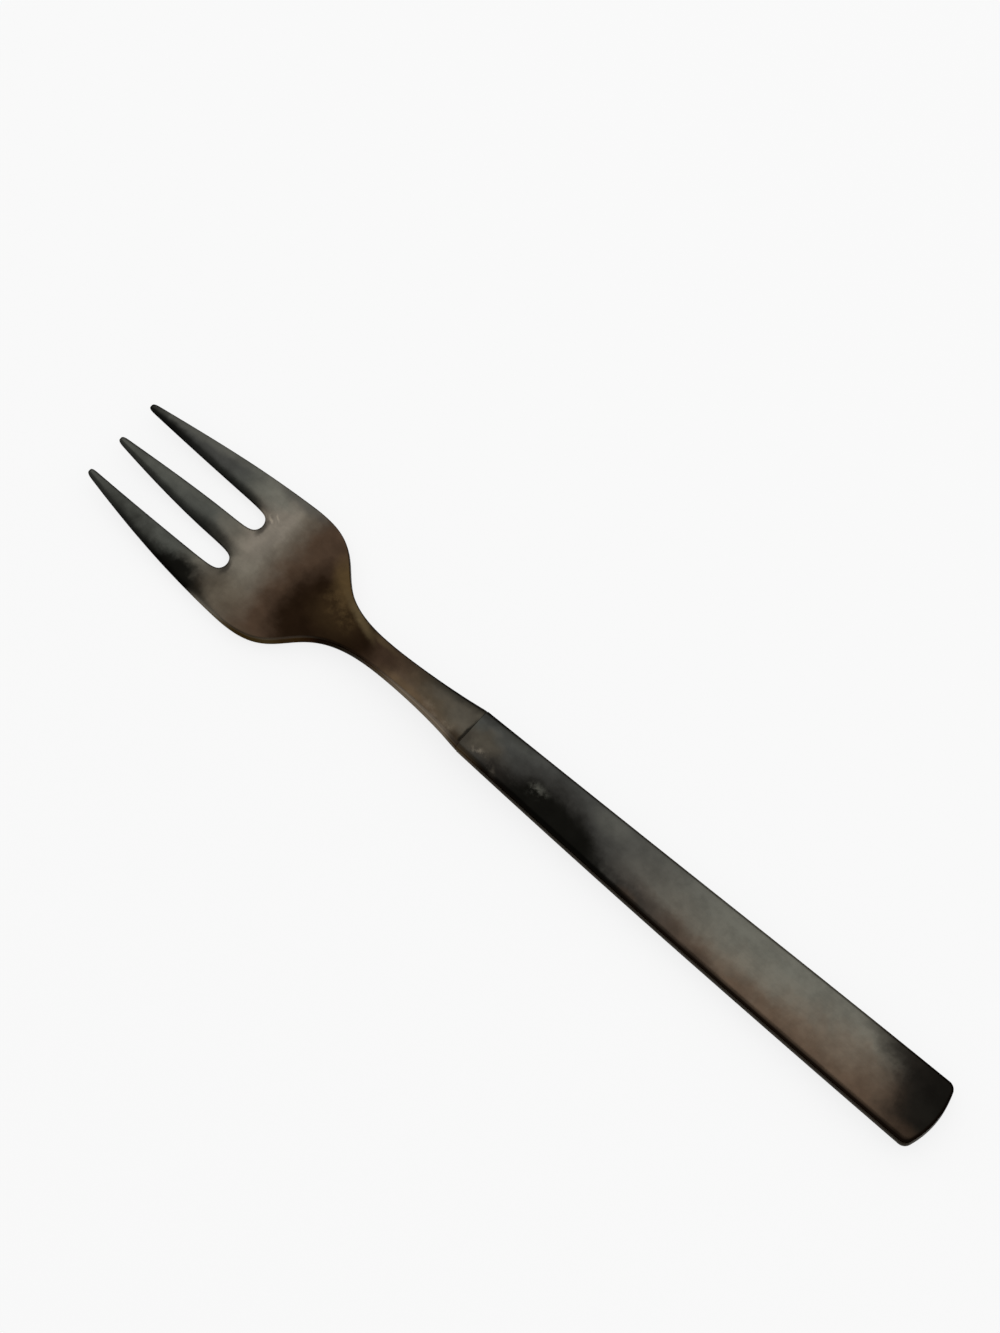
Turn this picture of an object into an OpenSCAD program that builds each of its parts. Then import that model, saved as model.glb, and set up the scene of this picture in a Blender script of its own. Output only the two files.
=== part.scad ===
// Three-tine seafood fork with a hollow handle.
// The forged head ends in a shoulder and a tang. The tang is set in cement in the mouth of a handle
// that is pressed as two half shells and soldered along its seam.
// Lengths are in millimetres. X runs along the fork from the tine tips to the butt, Y across it and
// Z up from the table. The origin is on the table under the middle of the fork.

/* [Overall] */
// Length from the tine tips to the end of the butt
overall_length = 150; // [140:1:170]
// Length from the tine tips to the joint with the handle
head_length = 66.5; // [62:0.5:72]

/* [Tines] */
// Width over the outer edges of the outer tines, at their tips
tine_spread = 14; // [13:0.1:15]
// Width of each tine at its tip
tine_tip_width = 0.95; // [0.8:0.05:1.1]
// Thickness of the tines at their tips
tine_tip_thickness = 1.2; // [1:0.1:1.6]
// Height of the underside of the tine tips above the table
tine_lift = 2.2; // [1:0.1:5]
// Distance from the tips at which the inner edges of the tines are full
tine_belly_at = 13; // [10:0.5:16]
// Distance from the tips to the bottom of the slots
slot_root_at = 23.3; // [21:0.1:25]
// Radius of the round bottom of each slot
slot_root_radius = 1.8; // [1.5:0.05:2]
// Distance from the centre line to the middle of a slot at its bottom
slot_root_offset = 3.8; // [3.5:0.1:4.2]
// Edge radius along the slots
slot_edge_radius = 0.4; // [0.25:0.05:0.4]

/* [Bowl] */
// Width of the head at its widest
head_width = 21.3; // [19:0.1:24]
// Distance from the tips to the widest place
head_widest_at = 29; // [27:0.1:30]
// Length of the full curve in the outer edge ahead of the widest place
outer_edge_reach = 11; // [8:0.5:14]
// Thickness of the bowl
bowl_thickness = 1.9; // [1.6:0.1:2.4]
// Height by which the edges of the bowl stand above its middle
bowl_dish = 0.4; // [0:0.1:1]
// Distance from the tips to the place where the bowl touches the table
bowl_rest_at = 27; // [25:0.5:30]
// Length of the round shoulder of the bowl
bowl_shoulder_reach = 11; // [9:0.5:14]

/* [Neck] */
// Width of the neck at its narrowest
neck_width = 4.2; // [3.4:0.1:5]
// Thickness of the neck at its narrowest
neck_thickness = 2.7; // [2.2:0.1:3]
// Distance from the tips to the narrowest place
neck_at = 50.5; // [48:0.5:54]
// Length of the hollow curve from the neck towards the bowl
neck_bowl_reach = 15.2; // [12:0.2:18]
// Length of the hollow curve from the neck towards the handle
neck_flare_reach = 8; // [5:0.5:10]
// Edge radius of the tines and the bowl
head_edge_radius = 0.5; // [0.3:0.05:0.6]

/* [Handle] */
// Width of the handle at its mouth
mouth_width = 6.8; // [6:0.1:8]
// Thickness of the handle at its mouth
mouth_thickness = 3.5; // [3.2:0.1:4.2]
// Width of the handle at its butt, before the corners are rounded
butt_width = 10.8; // [10:0.1:13]
// Width between the sides where the taper from the mouth would meet the taper to the butt
side_knee_width = 9.85; // [8.5:0.05:10.5]
// Distance from the tips to the place where the two tapers would meet
side_knee_at = 112; // [100:1:124]
// Thickness of the handle at its butt
butt_thickness = 4; // [3.6:0.1:5]
// Radius of the curved end of the butt
butt_end_radius = 13; // [9:0.5:20]
// Radius of the two corners of the butt
butt_corner_radius = 1.4; // [1.3:0.1:2]
// Radius along the edges of the handle
handle_edge_radius = 0.9; // [0.8:0.05:1.2]
// Height of the underside of the mouth above the table
mouth_lift = 1.6; // [0.5:0.1:4]
// Distance from the tips to the place where the handle meets the table
handle_rest_at = 112; // [104:1:122]
// Wall of the pressed shells
shell_wall = 0.7; // [0.5:0.05:0.75]

/* [Joint] */
// Step down from the handle to the shoulder of the head, all round
joint_step = 0.05; // [0.03:0.01:0.2]
// Length of the tang
tang_length = 22; // [14:1:28]
// Width of the tang at the shoulder
tang_width = 3.6; // [2.8:0.1:4]
// Width of the tang at its end
tang_end_width = 2.6; // [2:0.1:3]
// Thickness of the tang
tang_thickness = 1.3; // [0.9:0.1:1.5]
// Edge radius of the tang
tang_edge_radius = 0.25; // [0.15:0.05:0.35]
// Cement left behind the end of the tang
cement_past_tang = 2; // [1:0.5:4]
// Height of the solder run along the inside of the seam
solder_height = 0.9; // [0.5:0.1:1.2]
// Thickness of the solder run
solder_thickness = 0.35; // [0.2:0.05:0.5]

/* [Hidden] */

// Facets of the lofted forms
tine_steps = 14;
bowl_steps = 26;
flare_steps = 10;
tang_steps = 4;
corner_steps = 3;
flat_steps = 6;
cement_steps = 4;
grip_steps = 12;
butt_corner_steps = 6;
butt_end_steps = 5;
slot_steps = 10;
slot_arc_steps = 12;
tip_sides = 24;

// Overrun of a cutting form past the face that it opens
cut_over = 1;
// Largest share of a thickness that two edge radii may take up
edge_share = 0.9;

steel = "#3b3834";
cement = "#b8ab93";
solder = "#c9c6bd";

// Curves

function mix(a, b, u) = a + (b - a) * u;
function ease(u) = u <= 0 ? 0 : u >= 1 ? 1 : u * u * (3 - 2 * u);
function bezier2(a, b, c, u) = mix(mix(a, b, u), mix(b, c, u), u);
function bezier3(a, b, c, d, u) = mix(bezier2(a, b, c, u), bezier2(b, c, d, u), u);
// A curve that leaves zero level, and reaches height z with slope m after a run of h
function ramp(h, z, m, u) = u * u * (3 * z - m * h) + u * u * u * (m * h - 2 * z);
function reversed(list) = [for (i = [len(list) - 1 : -1 : 0]) list[i]];

// Levels of the handle along X, which is counted from the tine tips

handle_length = overall_length - head_length;
rest_run = handle_rest_at - head_length;

function handle_thickness(x) = mix(mouth_thickness, butt_thickness, (x - head_length) / handle_length);
function handle_underside(x) = x > handle_rest_at ? 0 : mouth_lift * pow((handle_rest_at - x) / rest_run, 2);
function handle_seam(x) = handle_underside(x) + handle_thickness(x) / 2;
// Top face for side 1 and underside for side -1, moved in by an inset
function handle_skin(side, x, inset) = handle_seam(x) + side * (handle_thickness(x) / 2 - inset);

// Levels and thickness of the head

shoulder_width = mouth_width - 2 * joint_step;
shoulder_thickness = mouth_thickness - 2 * joint_step;
shoulder_edge_radius = handle_edge_radius - joint_step;
shoulder_lift = mouth_lift + joint_step;
mouth_slope = -2 * mouth_lift / rest_run;
neck_run = head_length - bowl_rest_at;
// Highest level that a tine tip can reach, and the distance between the middles of two tips
tip_top = tine_lift + tine_tip_thickness + bowl_dish;
tip_pitch = (tine_spread - tine_tip_width) / 2;

function head_underside(x) = x < bowl_rest_at
    ? tine_lift * pow(1 - x / bowl_rest_at, 2)
    : ramp(neck_run, shoulder_lift, mouth_slope, (x - bowl_rest_at) / neck_run);
function head_thickness(x) =
    x < slot_root_at ? mix(tine_tip_thickness, bowl_thickness, ease(x / slot_root_at))
    : x < neck_at ? mix(bowl_thickness, neck_thickness, ease((x - slot_root_at) / (neck_at - slot_root_at)))
    : mix(neck_thickness, shoulder_thickness, ease((x - neck_at) / (head_length - neck_at)));
function head_edge(x) =
    mix(head_edge_radius, shoulder_edge_radius, ease((x - head_widest_at) / (neck_at - head_widest_at)));
// Rise of the dish away from the centre line, which dies out towards the neck
function head_dish(x, y) = bowl_dish * pow(2 * y / head_width, 2)
    * (1 - ease((x - head_widest_at) / (neck_at - head_widest_at)));

// Half of the plan of the head, as distances from the tips and half widths

head_plan = concat(
    [for (i = [0 : tine_steps - 1]) let (u = i / tine_steps) [
        bezier2(0, head_widest_at - outer_edge_reach, head_widest_at, u),
        bezier2(tine_spread, head_width, head_width, u) / 2]],
    [for (i = [0 : bowl_steps - 1]) let (u = i / bowl_steps) [
        bezier3(head_widest_at, head_widest_at + bowl_shoulder_reach, neck_at - neck_bowl_reach, neck_at, u),
        bezier3(head_width, head_width, neck_width, neck_width, u) / 2]],
    [for (i = [0 : flare_steps]) let (u = i / flare_steps) [
        bezier2(neck_at, neck_at + neck_flare_reach, head_length, u),
        bezier2(neck_width, neck_width, shoulder_width, u) / 2]]);

// Section with rounded edges, standing on zero level, anticlockwise from the lower right edge
function section(width, thickness, edge_radius) =
    let (
        r = min(edge_radius, edge_share * thickness / 2, edge_share * width / 2),
        flat = width / 2 - r,
        corner = function (y, z, start) [for (i = [0 : corner_steps])
            let (a = start + 90 * i / corner_steps) [y + r * cos(a), z + r * sin(a)]],
        run = function (from, z) [for (i = [1 : flat_steps - 1]) [mix(from, -from, i / flat_steps), z]])
    concat(
        corner(flat, r, -90), corner(flat, thickness - r, 0), run(flat, thickness),
        corner(-flat, thickness - r, 90), corner(-flat, r, 180), run(-flat, 0));

function head_ring(x, half_width) =
    [for (p = section(2 * half_width, head_thickness(x), head_edge(x)))
        [x, p.x, p.y + head_underside(x) + head_dish(x, p.x)]];
function tang_ring(x) =
    let (width = mix(tang_width, tang_end_width, (x - head_length) / tang_length))
    [for (p = section(width, tang_thickness, tang_edge_radius))
        [x, p.x, p.y + handle_seam(x) - tang_thickness / 2]];

tang_rings = [for (i = [0 : tang_steps]) tang_ring(head_length + tang_length * i / tang_steps)];

// Plan of the handle from the right of the mouth round the butt to the left of the mouth.
// Each point holds its place and the move in the plan that one millimetre of inset takes.

side_mouth = [head_length, mouth_width / 2];
side_knee = [side_knee_at, side_knee_width / 2];
end_slope = atan((butt_width / 2 - side_knee.y) / (overall_length - side_knee.x));
side_along = [cos(end_slope), sin(end_slope)];
side_inward = [sin(end_slope), -cos(end_slope)];
end_centre = [overall_length - butt_end_radius, 0];
// The corner arc touches the side from within, and its centre lies on a circle inside the end arc
corner_line = side_knee + butt_corner_radius * side_inward;
corner_far = (end_centre - corner_line) * side_along;
corner_off = (end_centre - corner_line) * side_inward;
corner_centre = corner_line + side_along
    * (corner_far + sqrt(pow(butt_end_radius - butt_corner_radius, 2) - pow(corner_off, 2)));
corner_turn = atan2(corner_centre.y - end_centre.y, corner_centre.x - end_centre.x);
cement_end = head_length + tang_length + cement_past_tang;
// The side curves from the mouth to this point, which the two tapers make its tangents
corner_start = corner_centre - butt_corner_radius * side_inward;

// Share of the side's curve that is run through at x
function side_share(x) =
    let (run = side_knee.x - side_mouth.x, bend = corner_start.x - 2 * side_knee.x + side_mouth.x)
    (x - side_mouth.x) / (run + sqrt(run * run + bend * (x - side_mouth.x)));
function side_point(x) =
    let (
        u = side_share(x),
        along = mix(side_knee - side_mouth, corner_start - side_knee, u))
    [x, bezier2(side_mouth.y, side_knee.y, corner_start.y, u), 0, -norm(along) / along.x];
function arc_point(centre, radius, angle) =
    [centre.x + radius * cos(angle), centre.y + radius * sin(angle), -cos(angle), -sin(angle)];

side_stations = concat(
    [for (i = [0 : cement_steps]) mix(head_length, cement_end, i / cement_steps)],
    [for (i = [1 : grip_steps - 1]) mix(cement_end, corner_start.x, i / grip_steps)]);
right_plan = concat(
    [for (x = side_stations) side_point(x)],
    [for (i = [0 : butt_corner_steps - 1])
        arc_point(corner_centre, butt_corner_radius,
            mix(90 + end_slope, corner_turn, i / butt_corner_steps))],
    [for (i = [0 : butt_end_steps - 1])
        arc_point(end_centre, butt_end_radius, corner_turn * (1 - i / butt_end_steps))]);
end_point = arc_point(end_centre, butt_end_radius, 0);

function mirrored(plan) = [for (p = reversed(plan)) [p[0], -p[1], p[2], -p[3]]];
function handle_plan(right) = concat(right, [end_point], mirrored(right));
// A place on the plan, moved in by an inset and set at a level
function plan_place(p, inset, z) = [p[0] + inset * p[2], p[1] + inset * p[3], z];

// Solids

// A closed solid through rings of equal count, each anticlockwise as seen from the ring after it
module loft(rings) {
    n = len(rings[0]);
    last = len(rings) - 1;
    walls = [for (i = [0 : last - 1], j = [0 : n - 1]) let (k = (j + 1) % n)
        [[i * n + j, (i + 1) * n + j, (i + 1) * n + k], [i * n + j, (i + 1) * n + k, i * n + k]]];
    cap = [for (j = [0 : n / 2 - 1]) let (b = n - 1 - j)
        each [if (b - j > 1) [j, j + 1, b], if (b - j > 2) [j + 1, b - 1, b]]];
    polyhedron(
        points = [for (ring = rings, p = ring) p],
        faces = concat(
            [for (pair = walls, face = pair) face],
            cap,
            [for (face = cap) [for (j = reversed(face)) last * n + j]]),
        convexity = 6);
}

// Half of the handle between its seam and its skin, for side 1 or -1, moved in by an inset.
// Over is how far it runs past the seam and the mouth.
module half_handle(side, inset = 0, over = 0) {
    right = over > 0 ? concat([side_point(head_length - over)], right_plan) : right_plan;
    plan = handle_plan(right);
    n = len(plan);
    r = handle_edge_radius - inset;
    angles = [for (i = [0 : butt_corner_steps]) 90 * i / butt_corner_steps];
    levels = concat(
        [for (p = plan) plan_place(p, inset, handle_seam(p[0]) - side * over)],
        [for (a = angles, p = plan)
            plan_place(p, inset + r * (1 - cos(a)), handle_skin(side, p[0], inset + r * (1 - sin(a))))]);
    top = len(angles);
    half = len(right);
    walls = [for (j = [0 : top - 1], k = [0 : n - 2]) let (a = j * n + k, b = a + n)
        [[a, a + 1, b + 1], [a, b + 1, b]]];
    strip = function (j) [for (k = [0 : half - 1]) let (a = j * n + k, b = j * n + n - 1 - k)
        k == half - 1 ? [[a, a + 1, b]] : [[a, a + 1, b - 1], [a, b - 1, b]]];
    mouth = concat([for (j = [0 : top]) j * n], [for (j = [top : -1 : 0]) j * n + n - 1]);
    faces = concat(
        [for (pair = walls, face = pair) face],
        [for (pair = strip(top), face = pair) face],
        [for (pair = strip(0), face = pair) reversed(face)],
        [mouth]);
    polyhedron(points = levels, faces = side > 0 ? faces : [for (f = faces) reversed(f)], convexity = 4);
}

// Pressed half of the handle, open at the seam and at the mouth
module half_shell(side) {
    difference() {
        half_handle(side);
        half_handle(side, inset = shell_wall, over = cut_over);
    }
}

// What is cut away on one side of the middle tine. It widens over the edge radius at both faces of the
// head and follows their curve.
module slot_form() {
    root_x = slot_root_at - slot_root_radius;
    inner = slot_root_offset - slot_root_radius;
    tip_inner = tine_tip_width / 2;
    tip_outer = tine_spread / 2 - tine_tip_width;
    shares = [for (i = [0 : slot_steps - 1]) i / slot_steps];
    edge_x = function (u) bezier2(0, tine_belly_at, root_x, u);
    plan = concat(
        [[-cut_over, tip_inner, 0, 1]],
        [for (u = shares) [edge_x(u), bezier2(tip_inner, inner, inner, u), 0, 1]],
        [for (i = [0 : slot_arc_steps])
            arc_point([root_x, slot_root_offset], slot_root_radius, -90 + 180 * i / slot_arc_steps)],
        [for (u = reversed(shares))
            [edge_x(u), mix(tip_outer, slot_root_offset + slot_root_radius, edge_x(u) / root_x), 0, -1]],
        [[-cut_over, tip_outer, 0, -1]]);
    // Widening at each depth under a face, run on through the face along its last chord
    edge = concat(
        [for (i = [0 : corner_steps - 1]) let (a = 90 * i / corner_steps)
            slot_edge_radius * [1 - cos(a), 1 - sin(a)]],
        [slot_edge_radius * [1 + cos(90 - 90 / corner_steps), sin(90 - 90 / corner_steps) - 1]]);
    wide = edge[corner_steps].x;
    ring = function (widen, side, depth) [for (p = plan) let (
            place = plan_place(p, -widen, 0),
            x = place.x,
            middle = head_underside(x) + head_thickness(x) / 2 + head_dish(x, place.y))
        [x, place.y, middle + side * (head_thickness(x) / 2 - depth)]];
    loft(concat(
        [ring(wide, -1, -cut_over)],
        [for (e = reversed(edge)) ring(e.x, -1, e.y)],
        [for (e = edge) ring(e.x, 1, e.y)],
        [ring(wide, 1, -cut_over)]));
}

// What lies ahead of a tine tip that is round in one view, between a low and a high edge of that view
module ahead_of_tip(radius, middle, low, high) {
    difference() {
        translate([-cut_over, low]) square([radius + cut_over, high - low]);
        translate([radius, middle]) circle(radius, $fn = tip_sides);
    }
}

// Rounds the tip of the tine at y, both in plan and as seen from the side
module tip_cut(y) {
    half_gap = tip_pitch / 2;
    nose = tine_tip_thickness / 2;
    level = head_underside(nose) + nose + head_dish(nose, y);
    translate([0, 0, -cut_over]) linear_extrude(tip_top + 2 * cut_over)
        ahead_of_tip(tine_tip_width / 2, y, y - half_gap, y + half_gap);
    translate([0, y + half_gap, 0]) rotate([90, 0, 0]) linear_extrude(2 * half_gap)
        ahead_of_tip(nose, level, -cut_over, tip_top + cut_over);
}

// Sets a piece, drawn from the tine tips, about the origin
module placed() {
    translate([-overall_length / 2, 0, 0]) children();
}

// Pieces

module fork_head() {
    color(steel) placed() difference() {
        loft(concat([for (p = head_plan) head_ring(p.x, p.y)], tang_rings));
        slot_form();
        mirror([0, 1, 0]) slot_form();
        for (y = [-tip_pitch, 0, tip_pitch]) tip_cut(y);
    }
}

module handle_top_shell() {
    color(steel) placed() half_shell(1);
}

module handle_bottom_shell() {
    color(steel) placed() half_shell(-1);
}

// Fills the mouth of the handle round the tang
module tang_cement() {
    r = handle_edge_radius - shell_wall;
    angles = [for (i = [0 : butt_corner_steps]) 90 * i / butt_corner_steps];
    skin_edge = function (side, p, a) plan_place(p, shell_wall + r * (1 - cos(a)),
        handle_skin(side, p[0], shell_wall + r * (1 - sin(a))));
    ring = function (x) let (
            right = side_point(x),
            left = mirrored([right])[0])
        concat(
            [for (a = reversed(angles)) skin_edge(-1, right, a)], [for (a = angles) skin_edge(1, right, a)],
            [for (a = reversed(angles)) skin_edge(1, left, a)], [for (a = angles) skin_edge(-1, left, a)]);
    color(cement) placed() difference() {
        loft([for (i = [0 : cement_steps]) ring(side_stations[i])]);
        loft(concat([tang_ring(head_length - cut_over)], tang_rings));
    }
}

// Run of solder along the inside of the seam, from the cement round the butt and back
module seam_solder() {
    right = [for (k = [cement_steps : len(right_plan) - 1]) right_plan[k]];
    color(solder) placed() loft([for (p = handle_plan(right)) let (
            z = handle_seam(p[0]),
            inner = shell_wall + solder_thickness,
            low = z - solder_height / 2,
            high = z + solder_height / 2)
        [plan_place(p, shell_wall, low), plan_place(p, shell_wall, high),
            plan_place(p, inner, high), plan_place(p, inner, low)]]);
}

fork_head();
handle_top_shell();
handle_bottom_shell();
tang_cement();
seam_solder();
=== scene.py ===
import math

import bmesh
import bpy
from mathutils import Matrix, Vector


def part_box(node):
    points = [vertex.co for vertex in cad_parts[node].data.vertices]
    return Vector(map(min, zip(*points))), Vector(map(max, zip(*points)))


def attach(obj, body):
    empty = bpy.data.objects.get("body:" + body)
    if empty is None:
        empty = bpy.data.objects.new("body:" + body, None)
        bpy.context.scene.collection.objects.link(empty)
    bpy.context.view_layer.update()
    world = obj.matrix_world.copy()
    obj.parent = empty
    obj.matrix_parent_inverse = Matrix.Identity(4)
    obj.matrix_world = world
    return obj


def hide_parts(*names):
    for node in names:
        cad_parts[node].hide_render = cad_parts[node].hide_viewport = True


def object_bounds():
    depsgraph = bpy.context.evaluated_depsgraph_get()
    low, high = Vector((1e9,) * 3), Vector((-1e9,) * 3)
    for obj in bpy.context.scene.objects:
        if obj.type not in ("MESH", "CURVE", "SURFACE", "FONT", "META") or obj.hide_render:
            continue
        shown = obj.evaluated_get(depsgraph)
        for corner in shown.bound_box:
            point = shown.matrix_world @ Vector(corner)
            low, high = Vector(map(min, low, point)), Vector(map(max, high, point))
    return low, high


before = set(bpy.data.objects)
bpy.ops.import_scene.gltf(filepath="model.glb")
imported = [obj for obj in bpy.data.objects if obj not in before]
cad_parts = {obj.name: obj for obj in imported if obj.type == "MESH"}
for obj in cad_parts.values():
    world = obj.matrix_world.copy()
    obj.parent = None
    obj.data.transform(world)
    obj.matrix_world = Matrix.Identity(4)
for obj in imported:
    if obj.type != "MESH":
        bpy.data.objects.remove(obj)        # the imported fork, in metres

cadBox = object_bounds()
mm = 0.001            # pieces are drawn in millimetres from the tine tips and shrunk at the end
tipX = cadBox[0].x / mm
forkLength = (cadBox[1].x - cadBox[0].x) / mm
headLength = (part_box("handle_top_shell")[0].x - cadBox[0].x) / mm
pickSlack = 0.01      # millimetres within which a vertex is at a place
cutSlack = 0.0001     # and on a cutting plane
mirrorSlack = 0.005   # and on the middle of a mirrored half
sortAlong = Vector((1.0, 0.0137, 0.00071))  # no two points of a piece are level along this
print("frame loaded, fork", round(forkLength, 2), "mm long, joint at", round(headLength, 2))


# Curves
def bezier(points, u):
    while len(points) > 1:
        points = [a + (b - a) * u for a, b in zip(points, points[1:])]
    return points[0]


def ease(u):
    u = min(max(u, 0.0), 1.0)
    return u * u * (3 - 2 * u)


def between(a, b, u):
    return a + (b - a) * u


# Edit mode helpers
def startPiece(name):
    piece = bpy.context.object
    piece.name = name
    piece.data.name = name
    bpy.ops.object.transform_apply(location=True, rotation=True, scale=True)
    bpy.ops.object.mode_set(mode="EDIT")
    bpy.ops.mesh.select_mode(type="VERT")
    return piece


def pick(piece, kind, rule):  # selects by place or normal
    bpy.ops.mesh.select_mode(type=kind)
    bpy.ops.mesh.select_all(action="DESELECT")
    mesh = bmesh.from_edit_mesh(piece.data)
    for part in {"VERT": mesh.verts, "EDGE": mesh.edges, "FACE": mesh.faces}[kind]:
        if rule(part):
            part.select_set(True)
    mesh.select_flush_mode()
    bmesh.update_edit_mesh(piece.data)


def moveBy(x, y, z):
    bpy.ops.transform.translate(value=(x, y, z))


def stretchY(share, middle):
    bpy.ops.transform.resize(value=(1, share, 1), center_override=(0, middle, 0))


def extrudeBy(x, y, z):
    bpy.ops.mesh.extrude_region_move(TRANSFORM_OT_translate={"value": (x, y, z)})


def near(a, b, slack=pickSlack):
    return abs(a - b) < slack


def inOrder(piece):  # some operators number points in another order on each run, so they are sorted
    mesh = bmesh.from_edit_mesh(piece.data)
    mesh.verts.sort(key=lambda v: v.co.dot(sortAlong))
    mesh.edges.sort(key=lambda e: (e.verts[0].co + e.verts[1].co).dot(sortAlong))
    mesh.faces.sort(key=lambda f: f.calc_center_median().dot(sortAlong))
    bmesh.update_edit_mesh(piece.data)
    bpy.ops.object.mode_set(mode="OBJECT")
    for edge in piece.data.edges:
        edge.vertices = sorted(edge.vertices)


def weigh(piece, group, rule):  # vertex group from a rule on each vertex
    bpy.ops.object.mode_set(mode="OBJECT")
    made = piece.vertex_groups.new(name=group)
    for vertex in piece.data.vertices:
        made.add([vertex.index], rule(vertex), "REPLACE")


def finishWith(piece, kind, **settings):  # adds a modifier and applies it
    bpy.ops.object.mode_set(mode="OBJECT")
    made = piece.modifiers.new(kind.lower(), kind)
    for key, value in settings.items():
        setattr(made, key, value)
    bpy.ops.object.modifier_apply(modifier=made.name)


def toFrame(piece):  # from millimetres at the tips to metres in the frame
    piece.location.x = tipX * mm
    piece.scale = (mm, mm, mm)
    bpy.ops.object.transform_apply(location=True, rotation=True, scale=True)
    piece.vertex_groups.clear()


# Levels along the fork, x in millimetres from the tips
levels = {
    "tineLift": 2.2,        # underside of the tips over the table
    "bowlRestAt": 27.0,     # where the bowl touches the table
    "bowlLift": 0.02,       # smoothing sinks the bowl by about this much
    "mouthLift": 1.6,       # underside of the handle mouth
    "handleRestAt": 112.0,  # where the handle meets the table
    "jointStep": 0.05,      # step from the handle down to the shoulder
    "tipThick": 1.2,
    "bowlThick": 1.9,
    "bowlThickAt": 23.3,
    "neckThick": 2.7,
    "neckAt": 50.5,
    "mouthThick": 3.5,
    "buttThick": 4.0,
}
restRun = levels["handleRestAt"] - headLength


def handleThick(x):
    return between(levels["mouthThick"], levels["buttThick"], (x - headLength) / (forkLength - headLength))


def handleSeam(x):
    lift = max(levels["handleRestAt"] - x, 0) / restRun
    return levels["mouthLift"] * lift * lift + handleThick(x) / 2


def headThick(x):
    shoulder = levels["mouthThick"] - 2 * levels["jointStep"]
    bowlAt, neckAt = levels["bowlThickAt"], levels["neckAt"]
    if x < bowlAt:
        return between(levels["tipThick"], levels["bowlThick"], ease(x / bowlAt))
    if x < neckAt:
        return between(levels["bowlThick"], levels["neckThick"], ease((x - bowlAt) / (neckAt - bowlAt)))
    return between(levels["neckThick"], shoulder, ease((x - neckAt) / (headLength - neckAt)))


def headMiddle(x):
    rest = levels["bowlRestAt"]
    if x < rest:
        under = levels["tineLift"] * (1 - x / rest) ** 2
    else:
        run = headLength - rest
        u = (x - rest) / run
        rise = levels["mouthLift"] + levels["jointStep"] - levels["bowlLift"]
        slope = -2 * levels["mouthLift"] / restRun * run
        under = u * u * (3 * rise - slope) + u ** 3 * (slope - 2 * rise)
    return levels["bowlLift"] + under + headThick(x) / 2


# Fork head: half a cage along the middle surface, mirrored, given its thickness and smoothed
head = {
    "tineSpread": 14.0,
    "tipWidth": 1.05,
    "tineBellyAt": 13.0,
    "slotRootAt": 23.65,
    "slotRadius": 1.6,
    "slotOffset": 3.8,
    "slotBulge": 1.108,     # a smoothed cage draws in, so the cage of the slot root stands out
    "slotEase": 0.08,       # and so do the sides of the slot beside it
    "width": 21.3,
    "widestAt": 29.0,
    "outerReach": 11.0,     # the reaches are handle lengths of the outline's curves
    "shoulderReach": 11.0,
    "dish": 0.4,
    "neckWidth": 4.2,
    "neckReach": 15.2,
    "flareReach": 8.0,
    "shoulderWidth": 6.76,  # of the cage, which smoothing draws in a little
    "rootRow": 0.84,        # last row before the slots, on the curve of the outer edge
    "flareRows": 5,
    "bowlRows": 13,
    "tineRows": (18.0, 15.0, 12.0, 9.0, 6.0, 3.4, 1.5, 0.7, 0.25, 0.0),
    "tipKeep": {0.25: 0.88, 0.0: 0.52},  # share of the width and thickness kept at the round tip
    "flankShare": 0.33,     # part of a tine's width that falls away to each edge
    "bowlEdge": 0.965,      # where the edge starts to fall away, as a share of the half width
    "neckEdge": 0.84,
    "shoulderEdge": 0.80,
    "tineThin": 0.42,       # thickness left at the edges
    "bowlThin": 0.92,
    "shoulderThin": 0.78,
    "columnSlack": 0.02,    # a looser slack for picking the edge column
    "rimSteep": 0.75,       # an edge that rises by this share of its length is on the rim
    "rimRings": 2,
    "smoothing": 2,         # subdivision levels
    "endSupport": 0.35,     # rows that hold the shoulder and the ends of the tang
    "endFacing": 0.8,       # the shoulder's end faces look along the fork by at least this share
    "endReach": 0.2,        # and lie within this of the joint
    "shoulderInset": 0.2,
    "tangLength": 22.0,
    "tangWidth": 3.6,
    "tangEndWidth": 2.6,
    "tangThick": 1.3,
}
slotRootX = head["slotRootAt"] - head["slotRadius"]
slotIn = head["slotOffset"] - head["slotRadius"]
slotOut = head["slotOffset"] + head["slotRadius"]
shoulderThick = headThick(headLength)
diagonal = math.sin(math.radians(45))


def outerEdge(u):
    bow = head["widestAt"] - head["outerReach"]
    return (bezier([0, bow, head["widestAt"]], u),
            bezier([head["tineSpread"], head["width"], head["width"]], u) / 2)


def outerEdgeAt(x):  # the outer edge's half width, by where its curve passes x
    a = 2 * (head["widestAt"] - head["outerReach"])
    b = head["widestAt"] - a
    return outerEdge((math.sqrt(a * a + 4 * b * x) - a) / (2 * b))[1]


def tipKeepAt(x):
    return head["tipKeep"].get(x, 1.0)


def midTineAt(x):  # half width of the middle tine
    a = 2 * head["tineBellyAt"]
    b = slotRootX - a
    u = (math.sqrt(a * a + 4 * b * x) - a) / (2 * b)
    return bezier([head["tipWidth"] / 2, slotIn, slotIn], u) * tipKeepAt(x)


def outerTineAt(x):  # middle and half width of an outer tine
    outer = outerEdgeAt(x)
    inner = between(head["tineSpread"] / 2 - head["tipWidth"], slotOut, x / slotRootX)
    return (inner + outer) / 2, (outer - inner) / 2 * tipKeepAt(x)


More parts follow.
